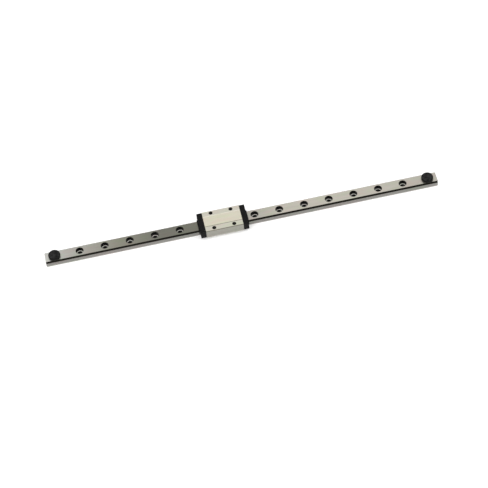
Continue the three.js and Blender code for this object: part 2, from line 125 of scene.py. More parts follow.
# Caps and seals
CAP_CHANNEL_HALF = 4.85
CAP_CHANNEL_TOP = 6.85
CAP_EDGE = 0.18
SCREW_RECESS_RADIUS = 1.45
SCREW_RECESS_DEPTH = 0.92
SCREW_CLEARANCE_RADIUS = 0.85
TURN_TUBE_RADIUS = 0.87
GUIDE_POCKET_RADIUS = 0.98
GUIDE_POCKET_HALF = 1.15
PORT_Z = 8.85
PORT_RADIUS = 0.45
PORT_DEPTH = 2.5
SEAL_GAP = 0.12
SEAL_TONGUE_RADIUS = 0.68
SEAL_SHOULDER = 6.4
SEAL_TOP_HALF = 3.3
SEAL_EDGE = 0.1

# Balls and retainer wires
BALL_RADIUS = 0.794
BALL_STEPS = 10
BALL_SEGMENTS = 16
ROW_BALLS = 18
ROW_PITCH = 1.608
TURN_Y = (RETURN_Y + TRACK_Y) / 2
TURN_RADIUS = (RETURN_Y - TRACK_Y) / 2
TURN_STEP_RADIANS = 1.32
WIRE_RADIUS = 0.18
WIRE_Y = 3.55
WIRE_LEG_X = 17.9
WIRE_LEG_END_Y = 5.5
WIRE_POCKET_DEPTH_Y = 5.8
WIRE_BEND = 0.45

# A distance too small to see, which counts as nothing when two heights are compared
HAIR = 0.01
# How far a tool reaches past the surface that it cuts
OVERSHOOT = 1


# ---------------------------------------------------------------- camera, light and floor

# Metres, degrees, and the lens in millimetres
CAMERA_TARGET = Vector((-0.00338, -0.02171, 0))
CAMERA_DISTANCE = 1.603
CAMERA_AZIMUTH = -6.54
CAMERA_ELEVATION = 52.56
CAMERA_ROLL = -6.61
CAMERA_LENS = 151.2
FLOOR_REACH = 6
FLOOR_GLOW = 0.18


def make_camera():
    azimuth, elevation = math.radians(CAMERA_AZIMUTH), math.radians(CAMERA_ELEVATION)
    level = math.cos(elevation)
    back = Vector((math.sin(azimuth) * level, -math.cos(azimuth) * level, math.sin(elevation)))
    data = bpy.data.cameras.new("camera")
    data.lens = CAMERA_LENS
    data.clip_end = 20
    camera = bpy.data.objects.new("camera", data)
    camera.location = CAMERA_TARGET + back * CAMERA_DISTANCE
    upright = (-back).to_track_quat("-Z", "Y").to_matrix()
    roll = Matrix.Rotation(math.radians(CAMERA_ROLL), 3, "Z")
    camera.rotation_euler = (upright @ roll).to_euler()
    bpy.context.collection.objects.link(camera)
    bpy.context.scene.camera = camera


def make_area_light(name, size, power, position):
    """A soft light aimed at the origin, the middle of the rail."""
    data = bpy.data.lights.new(name, "AREA")
    data.shape = "RECTANGLE"
    data.size, data.size_y = size
    data.energy = power
    light = bpy.data.objects.new(name, data)
    light.location = position
    light.rotation_euler = (-light.location).to_track_quat("-Z", "Y").to_euler()
    bpy.context.collection.objects.link(light)


def make_studio():
    """An even white surround with two broad soft lights."""
    scene = bpy.context.scene
    scene.view_settings.view_transform = "Standard"
    world = bpy.data.worlds.new("studio")
    world.use_nodes = True
    background = world.node_tree.nodes["Background"]
    background.inputs["Color"].default_value = (1, 0.995, 0.985, 1)
    background.inputs["Strength"].default_value = 1.0
    scene.world = world
    make_area_light("key", (2.0, 1.6), 14, (-0.9, -1.1, 1.5))
    make_area_light("fill", (1.6, 1.6), 5, (1.1, -0.3, 1.5))


def make_floor():
    """A plain white floor that glows a little, so that shadows on it stay faint."""
    mesh = bpy.data.meshes.new("floor")
    signs = ((-1, -1), (1, -1), (1, 1), (-1, 1))
    mesh.from_pydata([(x * FLOOR_REACH, y * FLOOR_REACH, 0) for x, y in signs], [], [(0, 1, 2, 3)])
    floor = bpy.data.objects.new("floor", mesh)
    bpy.context.collection.objects.link(floor)
    material = bpy.data.materials.new("floor")
    material.use_nodes = True
    shader = material.node_tree.nodes["Principled BSDF"]
    shader.inputs["Base Color"].default_value = (0.95, 0.95, 0.95, 1)
    shader.inputs["Roughness"].default_value = 0.9
    shader.inputs["Specular IOR Level"].default_value = 0.1
    shader.inputs["Emission Color"].default_value = (1, 1, 1, 1)
    shader.inputs["Emission Strength"].default_value = FLOOR_GLOW
    mesh.materials.append(material)


# ---------------------------------------------------------------- materials


class Nodes:
    """Short calls for building one material's nodes."""

    def __init__(self, name):
        self.material = bpy.data.materials.new(name)
        self.material.use_nodes = True
        self.tree = self.material.node_tree
        self.shader = self.tree.nodes["Principled BSDF"]

    def add(self, kind, **settings):
        node = self.tree.nodes.new(kind)
        for name, value in settings.items():
            setattr(node, name, value)
        return node

    def link(self, source, target):
        self.tree.links.new(source, target)

    def coordinates(self, scale):
        """Object coordinates in millimetres, stretched by scale along each axis."""
        spot = self.add("ShaderNodeTexCoord")
        mapping = self.add("ShaderNodeMapping")
        mapping.inputs["Scale"].default_value = [factor / MM for factor in scale]
        self.link(spot.outputs["Object"], mapping.inputs["Vector"])
        return mapping.outputs["Vector"]

    def axis(self, name):
        """One object coordinate, in metres."""
        spot = self.add("ShaderNodeTexCoord")
        split = self.add("ShaderNodeSeparateXYZ")
        self.link(spot.outputs["Object"], split.inputs["Vector"])
        return split.outputs[name]

    def noise(self, scale, detail, seed):
        texture = self.add("ShaderNodeTexNoise", noise_dimensions="4D")
        texture.inputs["W"].default_value = seed
        texture.inputs["Scale"].default_value = 1
        texture.inputs["Detail"].default_value = detail
        texture.inputs["Roughness"].default_value = 0.55
        self.link(self.coordinates(scale), texture.inputs["Vector"])
        return texture.outputs["Fac"]

    def ramp(self, factor, stops):
        node = self.add("ShaderNodeValToRGB")
        while len(node.color_ramp.elements) < len(stops):
            node.color_ramp.elements.new(0.5)
        for element, (position, colour) in zip(node.color_ramp.elements, stops):
            element.position = position
            element.color = (*colour, 1)
        self.link(factor, node.inputs["Fac"])
        return node.outputs["Color"]

    def span(self, factor, low, high, start=0.3, end=0.7):
        """A factor spread between two values."""
        node = self.add("ShaderNodeMapRange")
        node.inputs["From Min"].default_value = start
        node.inputs["From Max"].default_value = end
        node.inputs["To Min"].default_value = low
        node.inputs["To Max"].default_value = high
        self.link(factor, node.inputs["Value"])
        return node.outputs["Result"]

    def multiply(self, first, second):
        """Two colours multiplied; each is an output of another node, or fixed."""
        node = self.add("ShaderNodeMix", data_type="RGBA", blend_type="MULTIPLY")
        fixed_factor, first_input, second_input = node.inputs[0], node.inputs[6], node.inputs[7]
        fixed_factor.default_value = 1.0
        for socket, value in ((first_input, first), (second_input, second)):
            if isinstance(value, bpy.types.NodeSocket):
                self.link(value, socket)
            else:
                socket.default_value = (*value, 1)
        return node.outputs[2]

    def bump(self, height, strength, distance):
        node = self.add("ShaderNodeBump")
        node.inputs["Strength"].default_value = strength
        node.inputs["Distance"].default_value = distance * MM
        self.link(height, node.inputs["Height"])
        self.link(node.outputs["Normal"], self.shader.inputs["Normal"])


def ground_steel(name, colour, grain, contrast, roughness, seed, metallic=1.0):
    """Ground or brushed steel: fine streaks along the grain, soft pinker and greener patches and varied
    gloss. The colour is fixed, or a function that builds it from nodes."""
    n = Nodes(name)
    fine = n.noise(grain, detail=4, seed=seed)
    broad = n.noise((0.07, 0.3, 0.3), detail=2, seed=seed + 7)
    base = colour(n) if callable(colour) else colour
    streaks = n.ramp(fine, [(0.3, (1 - contrast,) * 3), (0.7, (1 + contrast,) * 3)])
    patches = n.ramp(broad, [(0.38, (1.02, 0.965, 0.96)), (0.5, (1, 1, 1)), (0.62, (0.97, 1.015, 0.94))])
    toned = n.multiply(base, streaks)
    n.link(n.multiply(toned, patches), n.shader.inputs["Base Color"])
    n.shader.inputs["Metallic"].default_value = metallic
    n.link(n.span(fine, roughness - 0.06, roughness + 0.08), n.shader.inputs["Roughness"])
    n.bump(fine, 0.25, 0.02)
    return n.material


def moulded(name, colour, grain, roughness, specular, contrast, depth, seed):
    """Black moulded plastic or rubber: mottled tone, small grain and varied gloss."""
    n = Nodes(name)
    fine = n.noise((grain,) * 3, detail=4, seed=seed)
    broad = n.noise((grain * 0.2,) * 3, detail=2, seed=seed + 3)
    mottle = n.ramp(broad, [(0.35, (1 - contrast,) * 3), (0.65, (1 + contrast,) * 3)])
    n.link(n.multiply(colour, mottle), n.shader.inputs["Base Color"])
    n.link(n.span(fine, roughness - 0.1, roughness + 0.1), n.shader.inputs["Roughness"])
    n.shader.inputs["Specular IOR Level"].default_value = specular
    n.bump(fine, 0.5, depth)
    return n.material


def lighter_foot(colour, pale, foot, reach):
    """A side's tones: paler over its lowest stretch, where polished steel mirrors the floor."""

    def tones(n):
        up = n.span(n.axis("Z"), 0, 1, foot * MM, (foot + reach) * MM)
        return n.ramp(up, [(0.0, pale), (0.4, pale), (1.0, colour)])

    return tones


def rail_painted_reflection(n):
    """The rail's top along its length, as painted reflection: brightest at the left end, darkest just left
    of where the carriage is parked, even and slightly warm to its right."""
    along = n.span(n.axis("X"), 0, 1, RAIL_LOW.x * MM, RAIL_HIGH.x * MM)
    stops = [
        (0.0, (0.56, 0.56, 0.54)),
        (0.06, (0.44, 0.44, 0.41)),
        (0.18, (0.28, 0.275, 0.23)),
        (0.28, (0.19, 0.19, 0.165)),
        (0.4, (0.18, 0.18, 0.15)),
        (0.5, (0.4, 0.39, 0.36)),
        (0.6, (0.53, 0.505, 0.45)),
        (0.84, (0.52, 0.5, 0.445)),
        (1.0, (0.46, 0.44, 0.4)),
    ]
    return n.ramp(along, stops)


def grey(level):
    return (level, level, level)


# The sides' steel is darker than the tops' as painted shade, and paler at the foot as a painted reflection
# of the floor.
RAIL_SIDE = lighter_foot((0.255, 0.25, 0.238), (0.5, 0.49, 0.47), 0.1, 1.1)
BLOCK_SIDE = lighter_foot((0.305, 0.298, 0.269), (0.45, 0.44, 0.405), 2.1, 1.5)

# Each steel: colour, grain along X, Y and Z, contrast, roughness, seed, and metallic where it isn't 1
STEELS = {
    "rail_top": (rail_painted_reflection, (0.04, 2.2, 2.2), 0.08, 0.34, 1),
    "rail_side": (RAIL_SIDE, (0.04, 3, 3), 0.08, 0.38, 2),
    # Near black over the ball track and the side strip above it: painted shade under the rail's top edge.
    "rail_track_painted_shade": ((0.018, 0.017, 0.014), (0.05, 5, 5), 0.15, 0.3, 3),
    # The counterbores: a seat in painted light, and near-black walls and bore in painted shade.
    "rail_seat": ((0.78, 0.77, 0.72), (3, 3, 3), 0.08, 0.45, 5, 0.1),
    "rail_bore": (grey(0.01), (2, 2, 0.3), 0.2, 0.4, 6),
    "block_land": ((0.665, 0.635, 0.53), (0.08, 1.4, 1.4), 0.05, 0.42, 11),
    "block_outer": ((0.6, 0.585, 0.51), (0.08, 1.8, 1.8), 0.05, 0.4, 12),
    # A painted highlight on the land's back strip and back slope; painted shade on its front slope and
    # chamfers.
    "block_painted_highlight": ((0.78, 0.75, 0.66), (0.1, 2, 2), 0.04, 0.3, 13),
    "block_edge_painted_shade": ((0.17, 0.165, 0.135), (0.1, 3, 3), 0.08, 0.35, 14),
    "block_side": (BLOCK_SIDE, (0.1, 1.6, 1.6), 0.06, 0.4, 15),
    # Near black in the tapped holes and return bores: painted shade.
    "block_hole_painted_shade": ((0.015, 0.015, 0.014), (2, 2, 2), 0.15, 0.35, 16),
    "screw_steel": (grey(0.3), (2, 2, 2), 0.1, 0.35, 31),
    "wire_steel": (grey(0.5), (0.2, 8, 8), 0.06, 0.25, 32),
    "ball_steel": (grey(0.75), (1.5, 1.5, 1.5), 0.02, 0.1, 33),
}
# Each plastic or rubber: colour, grain, roughness, specular level, contrast, bump depth, seed
PLASTICS = {
    "cap_plastic": (grey(0.006), 3.5, 0.6, 0.08, 0.4, 0.02, 21),
    "guide_plastic": ((0.025, 0.025, 0.027), 4, 0.5, 0.3, 0.2, 0.01, 22),
    "seal_rubber": (grey(0.007), 5, 0.75, 0.07, 0.3, 0.02, 23),
    "stop_rubber": (grey(0.006), 1.6, 0.7, 0.1, 0.4, 0.05, 24),
    "stop_top": (grey(0.013), 2.6, 0.75, 0.12, 0.8, 0.1, 25),
}
MATERIALS = {name: ground_steel(name, *finish) for name, finish in STEELS.items()}
MATERIALS.update({name: moulded(name, *finish) for name, finish in PLASTICS.items()})
RAIL_SLOTS = ["rail_top", "rail_side", "rail_track_painted_shade", "rail_seat", "rail_bore"]
BLOCK_SLOTS = ["block_land", "block_outer", "block_painted_highlight", "block_edge_painted_shade", "block_side", "block_hole_painted_shade"]


# ---------------------------------------------------------------- mesh tools


def arc(centre, radius, start, end, steps):
    """Points on an arc from start to end, in degrees."""
    points = []
    for i in range(steps + 1):
        angle = math.radians(start + (end - start) * i / steps)
        points.append((centre[0] + radius * math.cos(angle), centre[1] + radius * math.sin(angle)))
    return points


def circle(centre, radius, sides):
    return arc(centre, radius, 0, 360, sides)[:-1]


def rounded(corner_list, steps=3):
    """An outline from (x, y, corner radius) corners."""
    outline = []
    count = len(corner_list)
    for i, (x, y, radius) in enumerate(corner_list):
        here = Vector((x, y))
        if not radius:
            outline.append((x, y))
            continue
        before = (Vector(corner_list[i - 1][:2]) - here).normalized()
        after = (Vector(corner_list[(i + 1) % count][:2]) - here).normalized()
        half = before.angle(after) / 2
        reach = radius / math.tan(half)
        centre = here + (before + after).normalized() * (radius / math.sin(half))
        first, last = here + before * reach - centre, here + after * reach - centre
        turn = first.angle_signed(last)
        for step in range(steps + 1):
            arm = first.copy()
            arm.rotate(Matrix.Rotation(-turn * step / steps, 2))
            outline.append(tuple(centre + arm))
    return outline


def inset(outline, distance):
    """An anticlockwise outline moved inwards."""
    moved = []
    count = len(outline)
    for i in range(count):
        here = Vector(outline[i])
        incoming = (here - Vector(outline[i - 1])).normalized()
        outgoing = (Vector(outline[(i + 1) % count]) - here).normalized()
        normal = Vector((-incoming.y - outgoing.y, incoming.x + outgoing.x)).normalized()
        share = max(0.5, normal.dot(Vector((-incoming.y, incoming.x))))
        moved.append(tuple(here + normal * (distance / share)))
    return moved


def skin(bm, rings, tags, end_tags=(0, 0), closed=False):
    """Faces between rings of points; tags give each strip's material, and flat ends close an open skin."""
    loops = [[bm.verts.new(point) for point in ring] for ring in rings]
    count = len(loops[0])
    pairs = list(zip(loops, loops[1:]))
    if closed:
        pairs.append((loops[-1], loops[0]))
    for first, second in pairs:
        for i in range(count):
            j = (i + 1) % count
            face = bm.faces.new((first[i], first[j], second[j], second[i]))
            face.material_index = tags[i]
    if not closed:
        bm.faces.new(list(reversed(loops[0]))).material_index = end_tags[0]
        bm.faces.new(loops[-1]).material_index = end_tags[1]


def bar_along_x(bm, outline, tag_of, low, high, edge, end_tag):
    """A section drawn as (y, z), run along X, with its end edges broken."""
    count = len(outline)
    tags = [tag_of(outline[i], outline[(i + 1) % count]) for i in range(count)]
    small = inset(outline, edge)
    stations = [(low, small), (low + edge, outline), (high - edge, outline), (high, small)]
    rings = [[(x, y, z) for y, z in section] for x, section in stations]
    skin(bm, rings, tags, (end_tag, end_tag))


def turned(bm, profile, centre, tags, segments, axis="Z"):
    """A body turned from (radius, height) points, the first and last on its axis; tags give each stretch's
    material."""
    turn = {"Z": Matrix.Identity(3), "X": Matrix.Rotation(math.radians(90), 3, "Y")}[axis]
    centre = Vector(centre)
    rings = []
    for radius, height in profile[1:-1]:
        points = [(x, y, height) for x, y in circle((0, 0), radius, segments)]
        rings.append([bm.verts.new(centre + turn @ Vector(point)) for point in points])
    poles = [bm.verts.new(centre + turn @ Vector((0, 0, profile[k][1]))) for k in (0, -1)]
    for i in range(segments):
        j = (i + 1) % segments
        bm.faces.new((poles[0], rings[0][j], rings[0][i])).material_index = tags[0]
        bm.faces.new((rings[-1][i], rings[-1][j], poles[1])).material_index = tags[-1]
        for k in range(len(rings) - 1):
            face = bm.faces.new((rings[k][i], rings[k][j], rings[k + 1][j], rings[k + 1][i]))
            face.material_index = tags[k + 1]


def tube(bm, path, radius, sides):
    """A round bar along a path in a horizontal plane."""
    section = circle((0, 0), radius, sides)
    rings = []
    for i, point in enumerate(path):
        ahead = Vector(path[min(i + 1, len(path) - 1)]) - Vector(path[max(i - 1, 0)])
        across = Vector((-ahead.y, ahead.x, 0)).normalized()
        rings.append([Vector(point) + across * reach + Vector((0, 0, rise)) for reach, rise in section])
    skin(bm, rings, [0] * sides)


def to_object(bm, name, slots):
    """A mesh turned into an object, with one material slot for each name."""
    bmesh.ops.recalc_face_normals(bm, faces=bm.faces)
    mesh = bpy.data.meshes.new(name)
    bm.to_mesh(mesh)
    bm.free()
    for slot_name in slots:
        mesh.materials.append(MATERIALS[slot_name])
    made = bpy.data.objects.new(name, mesh)
    bpy.context.collection.objects.link(made)
    return made


def apply_modifiers(made):
    graph = bpy.context.evaluated_depsgraph_get()
    old = made.data
    made.data = bpy.data.meshes.new_from_object(made.evaluated_get(graph))
    made.modifiers.clear()
    made.data.name = old.name
    bpy.data.meshes.remove(old)


def cut(made, tool):
    """Cuts a tool object away; the cut faces keep the tool's material numbers."""
    modifier = made.modifiers.new("cut", "BOOLEAN")
    modifier.operation = "DIFFERENCE"
    modifier.solver = "EXACT"
    modifier.object = tool
    apply_modifiers(made)
    data = tool.data
    bpy.data.objects.remove(tool)
    bpy.data.meshes.remove(data)


def hand_over(made, body, node, angle=32):
    """Scales a finished shape to metres, shades it smooth except at edges above an angle, and puts it on
    its body in place of its CAD node."""
    made.data.transform(Matrix.Scale(MM, 4))
    made.data.shade_smooth()
    made.data.set_sharp_from_angle(angle=math.radians(angle))
    weighted = made.modifiers.new("weighted", "WEIGHTED_NORMAL")
    weighted.keep_sharp = True
    apply_modifiers(made)
    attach(made, body)
    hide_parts(node)


# ---------------------------------------------------------------- rail


def mirrored(right):
    """A whole outline from its right half, drawn upwards."""
    return right + [(-y, z, *rest) for y, z, *rest in reversed(right)]


def rail_half():
    """The right half of the rail's section, from the bottom up: side, ball track, wire slot, top."""
    half = RAIL_HIGH.y
    top = RAIL_HIGH.z
    lip = math.degrees(math.acos((TRACK_Y - TRACK_LIP_Y) / GROOVE_RADIUS))
    slot = math.degrees(math.asin(WIRE_SLOT_HALF / GROOVE_RADIUS))
    centre = (TRACK_Y, TRACK_Z)
    lower = [(y, z, 0) for y, z in arc(centre, GROOVE_RADIUS, 180 + lip, 180 + slot, 7)]
    upper = [(y, z, 0) for y, z in arc(centre, GROOVE_RADIUS, 180 - slot, 180 - lip, 7)]
    return [
        (half - RAIL_EDGE, 0, 0),
        (half, RAIL_EDGE, 0.08),
        (half, TRACK_Z - TRACK_LIP_HALF, 0),
        *lower,
        (WIRE_SLOT_Y, TRACK_Z - WIRE_SLOT_HALF, 0.08),
        (WIRE_SLOT_Y, TRACK_Z + WIRE_SLOT_HALF, 0.08),
        *upper,
        (half, TRACK_Z + TRACK_LIP_HALF, 0),
        (half, top, RAIL_TOP_ROUNDING),
    ]


def rail_tag(first, second):
    """Top, side or track with its lips, by where an edge of the section lies."""
    lowest = min(first[1], second[1])
    if lowest > RAIL_HIGH.z - HAIR:
        return RAIL_SLOTS.index("rail_top")
    # The ball track and the strip above it take the near-black steel of painted shade.
    if lowest > TRACK_Z - TRACK_LIP_HALF - HAIR:
        return RAIL_SLOTS.index("rail_track_painted_shade")
    return RAIL_SLOTS.index("rail_side")


def screw_holes():
    """The tool that cuts every screw hole: a bore with a countersunk lower end, and a counterbore with a
    broken rim, its seat in painted light and its walls and through bore in painted shade."""
    top = RAIL_HIGH.z
    seat = top - COUNTERBORE_DEPTH
    mouth = BORE_RADIUS + 0.5
    rim = COUNTERBORE_RADIUS + RIM_BREAK
    # Radius, height, and the material of the stretch from here to the next point
    rows = [
        (0, -OVERSHOOT, "bore"),
        (mouth, -OVERSHOOT, "bore"),
        (mouth, -0.3, "bore"),
        (BORE_RADIUS + 0.2, 0, "side"),
        (BORE_RADIUS, 0.2, "bore"),
        (BORE_RADIUS, seat - 0.12, "bore"),
        (BORE_RADIUS + 0.12, seat, "bore"),
        # Painted light on this ring of the seat, painted shade on the narrow rings beside it.
        (BORE_RADIUS + SEAT_MARGIN, seat, "seat"),
        (COUNTERBORE_RADIUS - 0.15, seat, "bore"),
        (COUNTERBORE_RADIUS, seat + 0.15, "bore"),
        (COUNTERBORE_RADIUS, top - RIM_BREAK, "bore"),
        (rim, top, "top"),
        (rim, top + OVERSHOOT, "top"),
        (0, top + OVERSHOOT, "top"),
    ]
    profile = [(radius, height) for radius, height, _ in rows]
    tags = [RAIL_SLOTS.index("rail_" + name) for _, _, name in rows]
    bm = bmesh.new()
    for i in range(HOLE_COUNT):
        x = (i - (HOLE_COUNT - 1) / 2) * HOLE_PITCH
        turned(bm, profile, (x, 0, 0), tags[:-1], 64)
    return to_object(bm, "screw_holes", RAIL_SLOTS)


def make_rail():
    bm = bmesh.new()
    side = RAIL_SLOTS.index("rail_side")
    section = rounded(mirrored(rail_half()))
    bar_along_x(bm, section, rail_tag, RAIL_LOW.x, RAIL_HIGH.x, RAIL_END_BREAK, side)
    rail = to_object(bm, "rail_bar", RAIL_SLOTS)
    cut(rail, screw_holes())
    hand_over(rail, "rail", "rail")


# ---------------------------------------------------------------- end stops


def roughen(bm, axis_x, above):
    """Draws the surface above a height in a little, unevenly, as on soft rubber."""
    for vert in bm.verts:
        if vert.co.z > above:
            wander = abs(noise.noise(vert.co * 0.9) * 0.05 + noise.noise(vert.co * 2.3) * 0.025)
            arm = Vector((vert.co.x - axis_x, vert.co.y, 0))
            vert.co.z -= wander * 0.6
            vert.co -= arm.normalized() * wander


def make_stop(side):
    """A push-in rubber plug with a slightly domed head."""
    node = f"end_stop_{side}"
    low, high = corners(node)
    axis_x = (low.x + high.x) / 2
    radius = (high.x - low.x) / 2
    seat = RAIL_HIGH.z - COUNTERBORE_DEPTH + 0.1
    rim = high.z - STOP_DOME
    head = RAIL_HIGH.z + HAIR
    profile = [(0, low.z), (STOP_SHANK_RADIUS - 0.4, low.z), (STOP_SHANK_RADIUS, low.z + 0.5)]
    profile += [(STOP_SHANK_RADIUS, seat), (STOP_PLUG_RADIUS, seat), (STOP_PLUG_RADIUS, head)]
    profile += [(radius - 0.15, head), (radius - 0.04, head + 0.12), (radius, rim - STOP_EDGE - 0.3)]
    profile += arc((radius - STOP_EDGE, rim - STOP_EDGE), STOP_EDGE, 0, 90, 5)
    profile += [(radius * t, rim + STOP_DOME * (1 - t * t)) for t in (0.8, 0.65, 0.5, 0.35, 0.2, 0.1)]
    profile += [(0, high.z)]
    on_top = [int(min(start[1], end[1]) > rim - HAIR) for start, end in zip(profile, profile[1:])]
    bm = bmesh.new()
    turned(bm, profile, (axis_x, 0, 0), on_top, 56)
    roughen(bm, axis_x, head + 0.05)
    stop = to_object(bm, f"stop_plug_{side}", ["stop_rubber", "stop_top"])
    hand_over(stop, f"stop_{side}", node, 45)


# ---------------------------------------------------------------- carriage block


def block_half():
    """The right half of the block's section, from the channel's top round to the land."""
    half = BLOCK_HIGH.y
    top = BLOCK_HIGH.z
    bottom = BLOCK_LOW.z
    outer = top - LAND_RISE
    opening = math.degrees(math.acos((CHANNEL_HALF - TRACK_Y) / GROOVE_RADIUS))
    track = [(y, z, 0) for y, z in arc((TRACK_Y, TRACK_Z), GROOVE_RADIUS, opening, -opening, 12)]
    channel = [
        (CHANNEL_HALF - BLOCK_EDGE, CHANNEL_TOP, 0),
        (CHANNEL_HALF, CHANNEL_TOP - BLOCK_EDGE, 0),
        *track,
        (CHANNEL_HALF, bottom + BLOCK_EDGE, 0),
        (CHANNEL_HALF + BLOCK_EDGE, bottom, 0),
    ]
    outside = [
        (half - BLOCK_EDGE, bottom, 0),
        (half, bottom + BLOCK_EDGE, 0),
        (half, outer - BLOCK_CHAMFER, 0.1),
        (half - BLOCK_CHAMFER, outer, 0.1),
        (LAND_HALF + 2 * LAND_RISE, outer, 0),
        (LAND_HALF, top, 0),
        (LAND_HALF - LAND_STRIP, top, 0),
    ]
    return channel + outside


def block_tag(first, second):
    """Land, its back strip and back slope in painted highlight, its front slope and chamfers in painted
    shade, outer tops or sides, by where a section edge lies.
    """
    top = BLOCK_HIGH.z
    y, z = (abs(first[0]) + abs(second[0])) / 2, (first[1] + second[1]) / 2
    if z > top - HAIR:
        painted_highlight_strip = min(first[0], second[0]) > LAND_HALF - LAND_STRIP - HAIR
        name = "block_painted_highlight" if painted_highlight_strip else "block_land"
    elif y < LAND_HALF + 0.5 and z > top - LAND_RISE:
        # The back slope gets the painted highlight, the front slope the painted shade.
        name = "block_painted_highlight" if first[0] > 0 else "block_edge_painted_shade"
    elif abs(z - (top - LAND_RISE)) < HAIR:
        name = "block_outer"
    elif z > top - LAND_RISE - BLOCK_CHAMFER - 0.06 and y > BLOCK_HIGH.y - BLOCK_CHAMFER - 0.05:
        name = "block_edge_painted_shade"
    else:
        name = "block_side"
    return BLOCK_SLOTS.index(name)


def around(right):
    """A whole outline from its right half drawn from a channel round to the top, its mirror image first."""
    return [(-y, z, *rest) for y, z, *rest in reversed(right)] + right


def block_outline():
    return rounded(around(block_half()), 2)


def thread_radius(turn, height):
    """The radius of a right-hand thread's wall at a part of a turn and a height."""
    wave = abs(((height / THREAD_PITCH - turn) % 1) * 2 - 1)
    return THREAD_MINOR + (THREAD_MAJOR - THREAD_MINOR) * min(1, wave * 1.1)


def thread_tool(bm, x, y):
    """A tapped hole's tool: a helical thread with a drilled tip and a countersunk mouth."""
    face = BLOCK_HIGH.z - LAND_RISE
    floor = BLOCK_HIGH.z - MOUNT_DEPTH
    start = face - (THREAD_MOUTH - THREAD_MINOR)
    hole = BLOCK_SLOTS.index("block_hole_painted_shade")
    rings = []
    for k in range(THREAD_ROWS + 1):
        height = floor + (start - floor) * k / THREAD_ROWS
        ring = []
        for i in range(THREAD_SEGMENTS):
            turn = i / THREAD_SEGMENTS
            radius = thread_radius(turn, height)
            angle = 2 * math.pi * turn
            ring.append((x + radius * math.cos(angle), y + radius * math.sin(angle), height))
        rings.append(ring)
    for height in (face, face + OVERSHOOT):
        rings.append([(*point, height) for point in circle((x, y), THREAD_MOUTH, THREAD_SEGMENTS)])
    loops = [[bm.verts.new(point) for point in ring] for ring in rings]
    tip = bm.verts.new((x, y, floor - THREAD_TIP))
    for i in range(THREAD_SEGMENTS):
        j = (i + 1) % THREAD_SEGMENTS
        bm.faces.new((tip, loops[0][j], loops[0][i])).material_index = hole
        for lower, upper in zip(loops, loops[1:]):
            bm.faces.new((lower[i], lower[j], upper[j], upper[i])).material_index = hole
    bm.faces.new(loops[-1]).material_index = hole


def add_bore(bm, radius, ends, centre, tag, segments):
    """A plain round tool along X, between two distances from a centre."""
    low, high = sorted(ends)
    profile = [(0, low), (radius, low), (radius, high), (0, high)]
    turned(bm, profile, centre, [tag] * 3, segments, "X")


def block_tools():
    """The tool that cuts the block's return bores, its four mounting threads and the cap screws' holes."""
    bm = bmesh.new()
    hole = BLOCK_SLOTS.index("block_hole_painted_shade")
    for side_y in (-1, 1):
        through = (-BLOCK_END - OVERSHOOT, BLOCK_END + OVERSHOOT)
        add_bore(bm, RETURN_RADIUS, through, (CARRIAGE_X, side_y * RETURN_Y, TRACK_Z), hole, 32)
        for side_x in (-1, 1):
            thread_tool(bm, CARRIAGE_X + side_x * MOUNT_SPACING[0] / 2, side_y * MOUNT_SPACING[1] / 2)
            ends = (side_x * (BLOCK_END - TAP_DEPTH), side_x * (BLOCK_END + OVERSHOOT))
            add_bore(bm, TAP_RADIUS, ends, (CARRIAGE_X, side_y * SCREW_Y, SCREW_Z), hole, 24)
    return to_object(bm, "block_tools", BLOCK_SLOTS)


def make_block():
    bm = bmesh.new()
    side = BLOCK_SLOTS.index("block_side")
    bar_along_x(bm, block_outline(), block_tag, BLOCK_LOW.x, BLOCK_HIGH.x, BLOCK_END_BREAK, side)
    block = to_object(bm, "block_body", BLOCK_SLOTS)
    cut(block, block_tools())
    hand_over(block, "carriage", "carriage_block")


# ---------------------------------------------------------------- end caps, seals and screws


def cap_outline(low, high):
    """The cap's section, open below round the rail."""
    right = [
        (CAP_CHANNEL_HALF, CAP_CHANNEL_TOP, 0.35),
        (CAP_CHANNEL_HALF, low.z, 0.2),
        (high.y, low.z, 0.6),
        (high.y, high.z, 0.7),
    ]
    return rounded(around(right), 4)


def add_ring(bm, centre, radius, tube_radius):
    """A level ring, the tool for the tunnel that turns the balls round."""
    segments = 40
    sides = 20
    section = circle((radius, 0), tube_radius, sides)
    rings = []
    for i in range(segments):
        turn = Matrix.Rotation(2 * math.pi * i / segments, 3, "Z")
        rings.append([Vector(centre) + turn @ Vector((reach, 0, rise)) for reach, rise in section])
    skin(bm, rings, [0] * sides, closed=True)


def add_box(bm, low, high):
    size = [b - a for a, b in zip(low, high)]
    middle = [(a + b) / 2 for a, b in zip(low, high)]
    bmesh.ops.create_cube(bm, size=1, matrix=Matrix.Translation(middle) @ Matrix.Diagonal((*size, 1)))


def turn_tunnels(bm, inner):
    for side_y in (-1, 1):
        add_ring(bm, (inner, side_y * TURN_Y, TRACK_Z), TURN_RADIUS, TURN_TUBE_RADIUS)


def guide_pockets(bm, inner):
    low, high = TRACK_Z - GUIDE_POCKET_HALF, TRACK_Z + GUIDE_POCKET_HALF
    profile = [(0, low), (GUIDE_POCKET_RADIUS, low), (GUIDE_POCKET_RADIUS, high), (0, high)]
    for side_y in (-1, 1):
        turned(bm, profile, (inner, side_y * TURN_Y, 0), [0] * 3, 32)


def wire_pockets(bm, side_x):
    leg = CARRIAGE_X + side_x * WIRE_LEG_X
    half = WIRE_SLOT_HALF
    for side_y in (-1, 1):
        across = sorted((side_y * (CAP_CHANNEL_HALF - 0.5), side_y * WIRE_POCKET_DEPTH_Y))
        add_box(bm, (leg - half, across[0], TRACK_Z - half), (leg + half, across[1], TRACK_Z + half))


